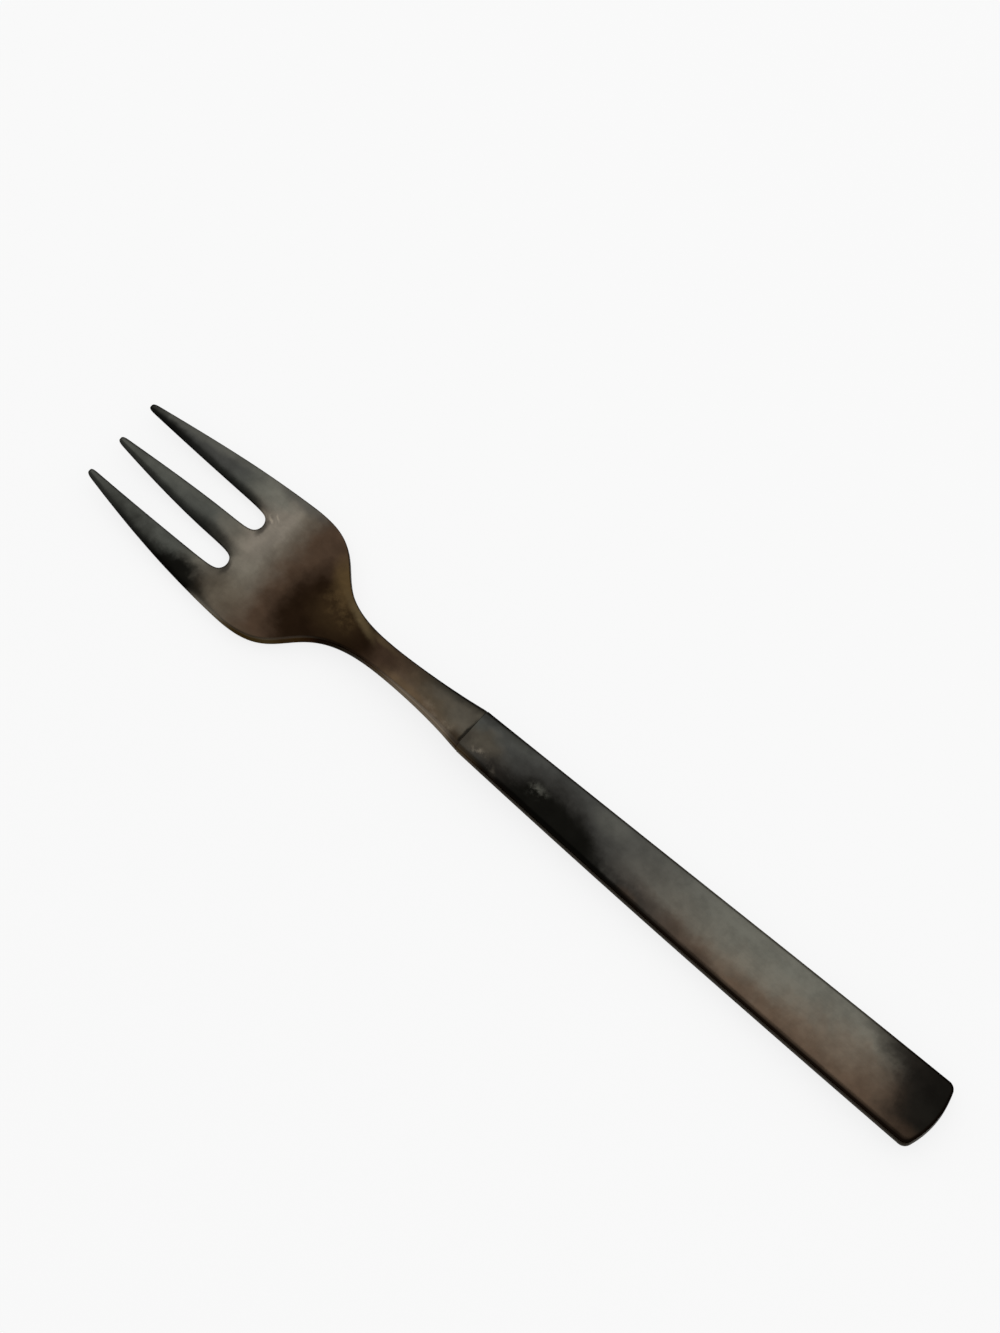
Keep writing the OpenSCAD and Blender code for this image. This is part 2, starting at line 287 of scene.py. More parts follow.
def headRows():  # distances from the tips and half widths, from the shoulder to the slots
    neckAt, widest = levels["neckAt"], head["widestAt"]
    shoulder, neck, full = head["shoulderWidth"] / 2, head["neckWidth"] / 2, head["width"] / 2
    flare = [neckAt, neckAt + head["flareReach"], headLength]
    bowl = [widest, widest + head["shoulderReach"], neckAt - head["neckReach"], neckAt]
    rows = [(headLength, shoulder), (headLength - head["endSupport"], shoulder)]
    for i in range(1, head["flareRows"] + 1):
        u = 1 - i / head["flareRows"]
        rows.append((bezier(flare, u), bezier([neck, neck, shoulder], u)))
    for i in range(1, head["bowlRows"] + 1):
        u = 1 - i / head["bowlRows"]
        rows.append((bezier(bowl, u), bezier([full, full, neck, neck], u)))
    rows.append(outerEdge((1 + head["rootRow"]) / 2))
    rows.append(outerEdge(head["rootRow"]))
    drawn = [tuple(b - (a - 2 * b + c) / 6 for a, b, c in zip(*three))
             for three in zip(rows[1:], rows[2:], rows[3:])]  # stands out by what smoothing draws in
    return rows[:2] + drawn + rows[-1:]


def flareShare(x):  # from the neck to the shoulder
    return ease((x - levels["neckAt"]) / (headLength - levels["neckAt"]))


def edgeShareAt(x, rootAt, rootShare):
    if x < head["widestAt"]:
        return between(rootShare, head["bowlEdge"], ease((x - rootAt) / (head["widestAt"] - rootAt)))
    if x < levels["neckAt"]:
        return between(head["bowlEdge"], head["neckEdge"],
                       ease((x - head["widestAt"]) / (levels["neckAt"] - head["widestAt"])))
    return between(head["neckEdge"], head["shoulderEdge"], flareShare(x))


def edgeThinAt(x):
    if x > levels["neckAt"]:
        return between(head["bowlThin"], head["shoulderThin"], flareShare(x))
    run = head["widestAt"] - slotRootX
    return between(head["tineThin"], head["bowlThin"], ease((x - slotRootX) / run))


def headColumns(rootHalf):  # places across the last row before the slots
    flank, slotAt = head["flankShare"], head["slotOffset"]
    slanted = diagonal * head["slotRadius"]
    outerWide = rootHalf - slotOut
    return [slotIn * (1 - 2 * flank), slotIn, slotAt - slanted, slotAt, slotAt + slanted, slotOut,
            slotOut + flank * outerWide, rootHalf - flank * outerWide]


def drawBowl(rows, columns):  # half of the middle surface, from the shoulder to the slot roots
    # First strip, between the shoulder and its support row, cut into columns
    (x0, half), (x1, _) = rows[0], rows[1]
    rootAt, rootHalf = rows[-1]
    start = ((x0 + x1) / 2, half / 2, headMiddle(x0))
    bpy.ops.mesh.primitive_plane_add(size=1, location=start)
    piece = startPiece("forkHead")
    bpy.ops.transform.resize(value=(x0 - x1, half, 1), center_override=start)
    for y in columns:
        bpy.ops.mesh.select_all(action="SELECT")
        bpy.ops.mesh.bisect(plane_co=(0, y / rootHalf * half, 0), plane_no=(0, 1, 0), threshold=cutSlack)

    # Rows down the neck and over the bowl
    pick(piece, "EDGE", lambda e: all(near(v.co.x, x1) for v in e.verts))
    for (xa, wa), (xb, wb) in zip(rows[1:], rows[2:]):
        extrudeBy(xb - xa, 0, headMiddle(xb) - headMiddle(xa))
        stretchY(wb / wa, 0)

    # The next row turns round the slot root
    scale = outerEdgeAt(slotRootX) / rootHalf
    extrudeBy(slotRootX - rootAt, 0, headMiddle(slotRootX) - headMiddle(rootAt))
    stretchY(scale, 0)
    slotAt, stand = head["slotOffset"], head["slotEase"]
    bulge = head["slotRadius"] * head["slotBulge"]
    slanted = diagonal * bulge
    turns = [(slotIn, slotIn - stand, 0), (columns[2], slotAt - slanted, slanted), (slotAt, slotAt, bulge),
             (columns[4], slotAt + slanted, slanted), (slotOut, slotOut + stand, 0)]
    for was, now, back in turns:
        pick(piece, "VERT", lambda v: near(v.co.x, slotRootX) and near(v.co.y, was * scale))
        moveBy(back, now - was * scale, headMiddle(slotRootX + back) - headMiddle(slotRootX))
    return piece


def drawTines(piece):  # half of the middle tine, then an outer tine
    steps = list(zip((slotRootX,) + head["tineRows"], head["tineRows"]))
    pick(piece, "EDGE", lambda e: all(near(v.co.x, slotRootX) and v.co.y < slotIn + pickSlack
                                      for v in e.verts))
    for xa, xb in steps:
        extrudeBy(xb - xa, 0, headMiddle(xb) - headMiddle(xa))
        stretchY(midTineAt(xb) / midTineAt(xa), 0)
    pick(piece, "EDGE", lambda e: all(near(v.co.x, slotRootX) and v.co.y > slotOut - pickSlack
                                      for v in e.verts))
    for xa, xb in steps:
        (wasMiddle, wasHalf), (nowMiddle, nowHalf) = outerTineAt(xa), outerTineAt(xb)
        extrudeBy(xb - xa, nowMiddle - wasMiddle, headMiddle(xb) - headMiddle(xa))
        stretchY(nowHalf / wasHalf, nowMiddle)


def shiftEdge(piece, rows, rootShare):  # gives the bowl a crisp edge and the neck a round one
    rootAt = rows[-1][0]
    for x, half in rows[:-1]:
        pick(piece, "VERT",
             lambda v: near(v.co.x, x) and near(v.co.y, rootShare * half, head["columnSlack"]))
        moveBy(0, (edgeShareAt(x, rootAt, rootShare) - rootShare) * half, 0)


def thicken(piece):  # the whole head, dished, thick and with rings round the rim that hold its walls
    finishWith(piece, "MIRROR", use_axis=(False, True, False), merge_threshold=mirrorSlack)
    dishFade = levels["neckAt"] - head["widestAt"]
    weigh(piece, "dish", lambda v: (2 * v.co.y / head["width"]) ** 2
          * (1 - ease((v.co.x - head["widestAt"]) / dishFade)))
    finishWith(piece, "DISPLACE", direction="Z", mid_level=0, strength=head["dish"], vertex_group="dish")
    bpy.ops.object.mode_set(mode="EDIT")
    endHalf = head["shoulderWidth"] / 2 - pickSlack
    sides = {v.index for v in bmesh.from_edit_mesh(piece.data).verts if v.is_boundary
             and not (near(v.co.x, headLength) and abs(v.co.y) < endHalf)}
    weigh(piece, "thick", lambda v: headThick(v.co.x) / shoulderThick * tipKeepAt(round(v.co.x, 3))
          * (edgeThinAt(v.co.x) if v.index in sides else 1))
    finishWith(piece, "SOLIDIFY", thickness=shoulderThick, offset=0, vertex_group="thick",
               thickness_vertex_group=0)
    bpy.ops.object.mode_set(mode="EDIT")
    pick(piece, "EDGE",
         lambda e: abs(e.verts[0].co.z - e.verts[1].co.z) > head["rimSteep"] * e.calc_length())
    bpy.ops.mesh.subdivide(number_cuts=head["rimRings"])


def drawTang(piece):  # out of the shoulder, along the handle's seam
    inset, support = head["shoulderInset"], head["endSupport"]
    rise = handleSeam(headLength + head["tangLength"]) - handleSeam(headLength)
    pick(piece, "FACE", lambda f: f.normal.x > head["endFacing"]
         and f.calc_center_median().x > headLength - head["endReach"])
    bpy.ops.mesh.inset(thickness=inset)
    extrudeBy(0, 0, 0)
    bpy.ops.transform.resize(value=(1, head["tangWidth"] / (head["shoulderWidth"] - 2 * inset),
                                    head["tangThick"] / (shoulderThick - 2 * inset)),
                             center_override=(headLength, 0, headMiddle(headLength)))
    extrudeBy(support, 0, 0)
    extrudeBy(head["tangLength"] - 2 * support, 0, rise)
    stretchY(head["tangEndWidth"] / head["tangWidth"], 0)
    extrudeBy(support, 0, 0)


def makeHead():
    rows = headRows()
    rootHalf = rows[-1][1]
    columns = headColumns(rootHalf)
    piece = drawBowl(rows, columns)
    drawTines(piece)
    shiftEdge(piece, rows, columns[-1] / rootHalf)
    inOrder(piece)
    thicken(piece)
    drawTang(piece)
    inOrder(piece)
    finishWith(piece, "SUBSURF", levels=head["smoothing"], render_levels=head["smoothing"])
    bpy.ops.object.shade_smooth()
    toFrame(piece)
    return piece


# Handle: two pressed shells that meet along the middle of the sides
handle = {
    "mouthWidth": 6.8,
    "kneeWidth": 9.85,      # where the taper from the mouth meets the taper to the butt
    "kneeAt": 112.0,
    "buttWidth": 10.8,
    "endRadius": 13.0,
    "cornerRadius": 1.4,
    "edgeRadius": 0.9,
    "edgeSteps": 8,
    "arcSteps": 8,          # on the corner and on half of the end
    "wall": 0.7,
    "crownRadius": 100.0,   # round of the faces from side to side
    "crownFrom": 0.2,       # share of the half thickness at which the round starts
    "stations": 20,
    "columnCuts": 7,
    "startShare": -0.05,    # the outline starts ahead of the mouth and is cut off there
    "rowSlack": 0.06,       # for picking the two ends of a row on the face
    "smoothAngle": 35,
    "weld": 0.001,          # points closer than this become one
    "sliver": 0.02,         # faces narrower than this, inside the round edge, are closed up
}
shellDeep = levels["buttThick"] / 2


def handleOutline():  # points along one side, then the middles and angles of the corner and end arcs
    corner = handle["cornerRadius"]
    mouth = Vector((headLength, handle["mouthWidth"] / 2, 0))
    knee = Vector((handle["kneeAt"], handle["kneeWidth"] / 2, 0))
    endSlope = math.atan2(handle["buttWidth"] / 2 - knee.y, forkLength - knee.x)
    along = Vector((math.cos(endSlope), math.sin(endSlope), 0))
    inward = Vector((along.y, -along.x, 0))
    endMiddle = Vector((forkLength - handle["endRadius"], 0, 0))
    line = knee + inward * corner
    gap = endMiddle - line
    reach = gap.dot(along) + math.sqrt((handle["endRadius"] - corner) ** 2 - gap.dot(inward) ** 2)
    cornerMiddle = line + along * reach
    cornerStart = cornerMiddle - inward * corner
    turn = math.atan2(cornerMiddle.y, cornerMiddle.x - endMiddle.x)
    shares = [handle["startShare"]] + [i / handle["stations"] for i in range(1, handle["stations"] + 1)]
    sidePoints = [bezier([mouth, knee, cornerStart], u) for u in shares]
    return sidePoints, ((cornerMiddle, math.radians(90) + endSlope - turn), (endMiddle, turn))


def drawPlan(name, sidePoints, arcs):  # one side's outline, drawn from a point, mirrored and filled
    bpy.ops.mesh.primitive_plane_add(size=0.1, location=sidePoints[0])
    piece = startPiece(name)
    bpy.ops.mesh.merge(type="CENTER")
    for a, b in zip(sidePoints, sidePoints[1:]):
        extrudeBy(*(b - a))
    for middle, angle in arcs:
        bpy.ops.mesh.spin(steps=handle["arcSteps"], angle=angle, center=middle, axis=(0, 0, 1))
    finishWith(piece, "MIRROR", use_axis=(False, True, False), merge_threshold=mirrorSlack)
    bpy.ops.object.mode_set(mode="EDIT")
    bpy.ops.mesh.select_all(action="SELECT")
    bpy.ops.mesh.remove_doubles(threshold=handle["weld"])
    bpy.ops.mesh.edge_face_add()
    pick(piece, "FACE", lambda f: f.normal.z < 0)
    bpy.ops.mesh.flip_normals()
    return piece


def raiseWall():  # up from the seam, then the round edge as a row of insets
    radius, steps = handle["edgeRadius"], handle["edgeSteps"]
    bpy.ops.mesh.select_all(action="SELECT")
    extrudeBy(0, 0, shellDeep - radius)
    for i in range(steps):
        a, b = (math.radians(90) * step / steps for step in (i, i + 1))
        bpy.ops.mesh.inset(thickness=radius * (math.cos(a) - math.cos(b)),
                           depth=radius * (math.sin(b) - math.sin(a)))


def crossesFace(edge):
    a, b = (v.co for v in edge.verts)
    wide = abs(a.y - b.y) > handle["mouthWidth"] / 2
    return wide and near(a.x, b.x) and near(a.z, shellDeep) and near(b.z, shellDeep)


def gridFace(piece, sidePoints):  # rows and columns, so that the face can follow the bow and the crown
    for point in sidePoints[1:]:
        pick(piece, "VERT",
             lambda v: near(v.co.z, shellDeep) and near(v.co.x, point.x, handle["rowSlack"]))
        bpy.ops.mesh.vert_connect()
    bpy.ops.mesh.select_all(action="SELECT")
    bpy.ops.mesh.bisect(plane_co=(headLength, 0, 0), plane_no=(1, 0, 0), clear_inner=True,
                        threshold=cutSlack)
    pick(piece, "FACE", lambda f: all(near(v.co.z, 0) for v in f.verts))  # the seam side is open
    bpy.ops.mesh.delete(type="FACE")
    pick(piece, "EDGE", crossesFace)
    bpy.ops.mesh.subdivide(number_cuts=handle["columnCuts"])


def bendShell(piece, side):  # bow, taper of the thickness and crown
    def lift(v):
        x, y, z = v.co
        crown = y * y / (2 * handle["crownRadius"])
        crown *= ease((abs(z) / shellDeep - handle["crownFrom"]) / (1 - handle["crownFrom"]))
        taper = handleThick(x) / levels["buttThick"] - 1
        return (handleSeam(x) + z * taper - side * crown) / levels["buttThick"]
    weigh(piece, "lift", lift)
    finishWith(piece, "DISPLACE", direction="Z", mid_level=0, strength=levels["buttThick"],
               vertex_group="lift")


def makeShell(name, side):
    sidePoints, arcs = handleOutline()
    piece = drawPlan(name, sidePoints, arcs)
    raiseWall()
    gridFace(piece, sidePoints)
    if side < 0:  # the underside is the same plan, turned over
        bpy.ops.mesh.select_all(action="SELECT")
        bpy.ops.transform.resize(value=(1, 1, -1), center_override=(0, 0, 0))
        bpy.ops.mesh.normals_make_consistent(inside=False)
    bendShell(piece, side)
    finishWith(piece, "SOLIDIFY", thickness=handle["wall"], offset=-1, use_even_offset=True)
    bpy.ops.object.mode_set(mode="EDIT")
    bpy.ops.mesh.select_all(action="SELECT")
    bpy.ops.mesh.dissolve_degenerate(threshold=handle["sliver"])
    inOrder(piece)
    bpy.ops.object.shade_smooth_by_angle(angle=math.radians(handle["smoothAngle"]))
    toFrame(piece)
    return piece


# Finishes
def addNode(tree, kind, inputs=None, **settings):
    made = tree.nodes.new(kind)
    for key, value in settings.items():
        setattr(made, key, value)
    for key, value in (inputs or {}).items():
        if isinstance(value, bpy.types.NodeSocket):
            tree.links.new(value, made.inputs[key])
        else:
            made.inputs[key].default_value = value
    return made


def calc(tree, operation, first, second=0.0):
    return addNode(tree, "ShaderNodeMath", {0: first, 1: second}, operation=operation).outputs[0]


def vector(tree, operation, first, second=(0, 0, 0)):
    made = addNode(tree, "ShaderNodeVectorMath", {0: first, 1: second}, operation=operation)
    return made.outputs["Value" if operation == "LENGTH" else "Vector"]


def scaled(tree, colour, share):
    made = addNode(tree, "ShaderNodeVectorMath", {0: colour, "Scale": share}, operation="SCALE")
    return made.outputs["Vector"]


def fade(tree, value, start, end, low=0.0, high=1.0):
    return addNode(tree, "ShaderNodeMapRange", {"Value": value, "From Min": start, "From Max": end,
                                                "To Min": low, "To Max": high},
                   interpolation_type="SMOOTHSTEP").outputs["Result"]


def blend(tree, share, first, second):
    made = addNode(tree, "ShaderNodeMix", data_type="RGBA", clamp_factor=True)
    for socket, value in zip((made.inputs[0], made.inputs[6], made.inputs[7]), (share, first, second)):
        if isinstance(value, bpy.types.NodeSocket):
            tree.links.new(value, socket)
        else:
            socket.default_value = (*value, 1)
    return made.outputs[2]


noiseRange = (0.3, 0.7)  # where nearly all of a noise lies


def noise(tree, place, scale, detail=4.0, rough=0.55):
    return addNode(tree, "ShaderNodeTexNoise", {"Vector": place, "Scale": scale, "Detail": detail,
                                                "Roughness": rough}).outputs


def warped(tree, point, settings, reach):  # the point, pushed about by a noise, and flattened
    push = vector(tree, "SUBTRACT", noise(tree, point, *settings)["Color"], (0.5, 0.5, 0.5))
    moved = vector(tree, "ADD", point, vector(tree, "MULTIPLY", push, (2 * reach, 2 * reach, 0)))
    return vector(tree, "MULTIPLY", moved, (1, 1, 0))


def newMaterial(name):
    made = bpy.data.materials.new(name)
    made.use_nodes = True
    tree = made.node_tree
    place = addNode(tree, "ShaderNodeTexCoord").outputs
    perMm = (1 / mm, 1 / mm, 1 / mm)
    point = addNode(tree, "ShaderNodeMapping", {"Vector": place["Object"], "Scale": perMm}).outputs[0]
    return made, tree, tree.nodes["Principled BSDF"], place, point


finishes = {  # reflectance of the steel where its blackening is whole, thinned or rubbed through, and colours laid as painted shade and painted highlights
    "black": (0.0037, 0.0035, 0.0028),
    # painted shade of the handle's sides
    "shadedSide": (0.0065, 0.0042, 0.0030),
    "warmBlack": (0.0080, 0.0067, 0.0055),
    "deepBrown": (0.0095, 0.0051, 0.0026),
    "slate": (0.0375, 0.0376, 0.0342),
    "brown": (0.0437, 0.0273, 0.0174),
    "umber": (0.0513, 0.0383, 0.0243),
    "tineGrey": (0.0484, 0.0496, 0.0430),
    "olive": (0.0825, 0.0600, 0.0300),
    "ochre": (0.0850, 0.0545, 0.0230),
    "warmBrown": (0.0836, 0.0588, 0.0405),
    "rubbedAndLitGrey": (0.1076, 0.0960, 0.0757),
    "wornAndLitGrey": (0.0902, 0.0892, 0.0745),
    "paleGrey": (0.1550, 0.1340, 0.1100),
    # bare steel, also laid as painted glints
    "bareAndGlint": (0.62, 0.53, 0.41),
}
headLook = {
    "ground": "rubbedAndLitGrey",
    # painted shade: the steep sides take this finish, more on the near side than the far one
    "sides": "black",
    "sideDark": (0.25, 0.9),  # upward lean of the surface at which the sides are dark and the faces clear
    "sideAmount": (0.97, 0.8),  # on the near side and on the far side
    "clouds": [  # finish, place and reach in millimetres, turn in degrees, softness, amount
        ("tineGrey", (-80, 0), (25.5, 60), 0, 0.13, 1.0),
        ("slate", (-65, 8), (7, 2.6), 5, 0.35, 1.0),
        ("paleGrey", (-50.2, 4.2), (2.8, 5.4), 0, 0.6, 0.6),
        ("wornAndLitGrey", (-53.6, 8.3), (3.6, 2.2), 0, 0.5, 0.75),
        ("brown", (-30, 0), (16, 60), 0, 0.21, 1.0),
        ("brown", (-46, -8.6), (2.5, 3), 0, 0.6, 0.35),
        ("deepBrown", (-34.4, -1.0), (7.6, 9.2), 0, 0.32, 1.0),
        ("umber", (-10, 0), (10.5, 40), 0, 0.4, 1.0),
        ("deepBrown", (-25.5, 0), (4.5, 6), 0, 0.5, 0.4),
        ("warmBlack", (-20, 2.4), (6, 1.4), -3, 0.6, 0.4),
        ("tineGrey", (-8, 1.6), (8, 3.2), 0, 0.4, 0.5),
        # painted shade: dark bands along the near flanks of the tines
        ("black", (-55.8, -10.4), (6.8, 2.8), 0, 0.45, 0.98),
        ("black", (-64, -8.5), (7, 1.6), -9, 0.7, 0.72),
        ("black", (-72.5, 6.2), (5, 1.1), 0, 0.6, 0.75),
    ],
    "tints": [
        # painted shade along the near edges of the tines, and painted light along their far edges
        ("black", (-56.2, -1.4), (3.8, 1.0), -2, 0.6, 0.55),
        ("black", (-57.5, 5.5), (5.5, 0.9), -1, 0.6, 0.65),
        ("black", (-62.5, -1.75), (8, 0.7), -5, 0.6, 0.5),
        ("black", (-67.5, 6.0), (7, 0.75), -1, 0.6, 0.5),
        ("wornAndLitGrey", (-62, 8.9), (11, 0.8), 8, 0.7, 0.4),
        ("wornAndLitGrey", (-61.5, 1.2), (7, 0.5), 5, 0.7, 0.2),
        # painted glints at the upper slot root
        ("bareAndGlint", (-51.0, 5.2), (0.5, 0.16), -20, 0.8, 0.22),
        ("bareAndGlint", (-50.2, 5.9), (0.5, 0.14), -35, 0.8, 0.1),
        ("warmBlack", (-51.4, -6.8), (2.2, 2.6), 0, 0.7, 0.45),
        ("umber", (-48.6, -7.8), (3.2, 3.2), 0, 0.7, 0.5),
        ("black", (-51.6, -10), (1.6, 1.2), 0, 0.7, 0.4),
        ("umber", (-43, -10.2), (2.4, 0.8), 8, 0.7, 0.4),
        ("slate", (-49, 10.3), (4.5, 1.2), 0, 0.7, 0.65),
        # painted highlight: a lit strip inside the far edge of the bowl and neck
        ("ochre", (-36.2, 5.0), (3.3, 1.6), -42, 0.7, 0.6),
        ("olive", (-31.2, 2.2), (3.2, 0.6), -22, 0.8, 0.7),
        ("olive", (-26.5, 1.55), (2.5, 0.4), -6, 0.7, 0.3),
        ("ochre", (-34.2, 0.0), (3.4, 2.4), 0, 0.8, 0.14),
        # painted highlight: a warmer, lighter band along the near side of the neck
        ("warmBrown", (-18, -2.1), (5.0, 1.0), -3, 0.6, 0.4),
        ("warmBrown", (-20, -1.2), (2.6, 1.0), 0, 0.6, 0.3),
        ("ochre", (-19.6, -1.9), (3.6, 0.9), -4, 0.7, 0.35),
        # painted shade: a dark line along the far edge of the neck
        ("black", (-12.5, 2.75), (5.5, 1.0), 7, 0.6, 0.6),
        ("rubbedAndLitGrey", (-10.8, -0.2), (1.8, 1.4), 0, 0.6, 0.15),
        ("deepBrown", (-9.5, -2.8), (1.5, 1.0), 0, 0.6, 0.65),
        # painted shade in the joint against the handle
        ("black", (-8.6, -1.6), (0.35, 2.6), 0, 0.5, 0.85),
        # painted shade on the walls at the ends of the slots
        ("black", (-51.1, 3.6), (0.5, 1.4), 0, 0.6, 0.6),
        ("black", (-51, -4.3), (0.45, 1.2), 0, 0.6, 0.5),
    ],
    "scuffsAndGlints": [
        ("ochre", (-34.4, 1.2), (3.2, 1.9), -20, 0.6, 0.28),
        # painted glint at the upper slot root
        ("bareAndGlint", (-51.2, 5.2), (1.2, 0.5), -20, 0.7, 0.14),
        ("bareAndGlint", (-14.6, -2.0), (2.0, 0.8), -25, 0.7, 0.05),
        ("bareAndGlint", (-11.4, -1.9), (1.2, 0.8), -40, 0.7, 0.05),
    ],
    "edges": [
        # painted highlight: the near rim of the bowl and neck made lighter and warmer, as a wall catching
        # light
        ("warmBrown", (-17, -3.2), (9, 2.6), 0, 0.3, 1.0),
        ("brown", (-33, -6.5), (9, 2.6), 23, 0.3, 0.6),
        ("rubbedAndLitGrey", (-48.6, -10.8), (3.6, 2.4), 0, 0.4, 1.0),
        ("umber", (-42, -10), (4.5, 2.5), 10, 0.4, 1.0),
        ("bareAndGlint", (-16, -3), (6.5, 2.5), 0, 0.4, 0.2),
        ("bareAndGlint", (-36, -8), (5, 4), 0, 0.5, 0.03),
        ("bareAndGlint", (-48, -10.8), (3, 2.4), 0, 0.5, 0.06),
        # painted glint at the upper slot root
        ("bareAndGlint", (-52.2, 5.5), (0.9, 0.6), -25, 0.8, 0.3),
        ("deepBrown", (-9, -3.1), (1.6, 1.2), 0, 0.6, 0.6),
        # painted shade: dark lines along the far rim of the bowl and neck
        ("black", (-29, 3.1), (5, 1.4), -14, 0.4, 0.7),
        ("black", (-16, 2.6), (9, 1.1), 3, 0.4, 0.7),
    ],
}
handleLook = {
    "ground": "rubbedAndLitGrey",
    # painted shade: the steep sides take this finish, far more on the near side than the far one
    "sides": "shadedSide",
    "sideDark": (0.68, 0.915),
    "sideAmount": (0.97, 0.4),
    "clouds": [
        ("warmBrown", (30, -26.2), (4000, 24), 0, 0.1, 1.0),  # all along the near side: painted shade, browner and darker there
        # painted light: the far half lighter along the middle of the handle
        ("wornAndLitGrey", (40, 5.5), (24, 5), 0, 0.5, 0.9),
        ("warmBrown", (60, -2.5), (10, 4), 0, 0.5, 0.6),
        ("brown", (26, -5.4), (11, 3.3), 0, 0.5, 0.85),
        ("brown", (56, -5.4), (14, 2.5), 0, 0.6, 0.3),
        ("slate", (-40, 0), (67, 200), 0, 0.23, 1.0),
        ("tineGrey", (-8, -0.2), (4, 2.2), 0, 0.6, 0.8),
        ("umber", (-6.5, -0.8), (4, 2.0), 0, 0.6, 0.5),
        ("tineGrey", (-3, 3.0), (3, 1.2), 0, 0.6, 0.6),
        # darker over the front of the near side
        ("warmBlack", (7.5, -3), (10, 5.7), 0, 0.42, 0.68),
        ("warmBlack", (-0.2, -4.2), (6, 3.1), 0, 0.5, 0.85),
        ("black", (7.8, -4.2), (8.8, 4.6), 0, 0.28, 0.98),
        ("black", (15, -5.0), (10.5, 2.1), 0, 0.5, 0.92),
        # darker towards the butt
        ("warmBlack", (80, 6), (19.6, 5), 0, 0.26, 0.92),
        ("warmBlack", (82, 2), (16.3, 9.5), 0, 0.2, 0.95),
        ("brown", (66, -3), (4, 3.5), 0, 0.6, 0.4),
        ("black", (77.5, 1), (8, 10), 0, 0.5, 0.65),
    ],
    "tints": [
        ("black", (-7.5, 3.0), (2.6, 0.9), 0, 0.6, 0.4),
        ("warmBlack", (-8.5, -1.8), (1.2, 1.8), 0, 0.7, 0.4),
        ("warmBlack", (-2.2, -2.1), (1.6, 1.2), 0, 0.7, 0.45),
        ("warmBlack", (-2.4, 3.2), (2.2, 0.8), 0, 0.7, 0.35),
        ("wornAndLitGrey", (15, 2.6), (2.8, 1.6), 0, 0.7, 0.3),
        ("warmBlack", (20, -1.6), (2.4, 1.3), 0, 0.7, 0.3),
        ("warmBlack", (37, -4), (3, 0.7), 0, 0.7, 0.25),
        ("warmBlack", (26.3, -3), (1.8, 1), 0, 0.7, 0.35),
        ("brown", (23, -4), (1.6, 0.8), 0, 0.7, 0.4),
        ("brown", (43, -2.8), (3.5, 1.2), 0, 0.7, 0.3),
        ("brown", (72.8, -4.7), (3, 1.5), 0, 0.7, 0.4),
    ],
    "scuffsAndGlints": [
        ("bareAndGlint", (-5.6, -2.1), (1.0, 0.6), 20, 0.8, 0.17),
        ("bareAndGlint", (-3.2, -2.6), (1.4, 0.5), -20, 0.8, 0.06),
        ("wornAndLitGrey", (4.1, -0.8), (1.4, 0.9), 15, 0.8, 0.5),
        ("wornAndLitGrey", (-0.6, -1.6), (2.4, 0.6), -15, 0.8, 0.1),
    ],
    "edges": [
        ("umber", (-8.6, -3.6), (3, 2.4), 0, 0.95, 1.0),
        ("black", (-9.5, 3.7), (6.5, 2.2), 0, 0.95, 0.8),
        ("black", (10, -4.8), (13, 2.2), 0, 0.5, 0.9),
    ],
}


def layPatches(tree, colour, point, patches, where=None):
    for finish, at, reach, turn, soft, amount in patches:
        inside = addNode(tree, "ShaderNodeMapping", {
            "Vector": point, "Location": (*at, 0), "Rotation": (0, 0, math.radians(turn)),
            "Scale": (*reach, 1)}, vector_type="TEXTURE").outputs[0]
        share = fade(tree, vector(tree, "LENGTH", inside), 1 - soft, 1 + soft, amount, 0.0)
        if where:
            share = calc(tree, "MULTIPLY", share, where)
        colour = blend(tree, share, colour, finishes[finish])
    return colour


steelGrain = {  # noises are scale per millimetre, detail and roughness
    "looseWarps": (((0.16, 4.0, 0.6), 2.4), ((0.55, 5.0, 0.62), 1.0)),  # noise, and reach in millimetres
    "closeWarp": ((0.8, 3.0, 0.6), 0.4),
    "mottle": (0.4, 5.0, 0.6),
    "streak": (1.0, 3.0, 0.55),
    "streakStretch": (0.1, 4, 4),  # thin lines along the fork
    "pits": (6.0, 2.0, 0.55),
    "specks": (0.6, 5.0, 0.7),
    "speckRange": (0.42, 0.66),
    "mottleTone": (0.85, 1.13),
    "streakTone": (-0.025, 0.025),
    "mottleRough": (0.31, 0.37),
    "streakRough": (-0.02, 0.03),
    "sideTurn": (-0.2, 0.2),       # from the near side to the far one
    "edgeLean": (0.85, 0.99),      # from the edges to the faces
    "grazing": (0.4, 0.38, 0.35, 1),
    "bumpStrength": 0.05,
    "bumpDepth": 0.00004,
}


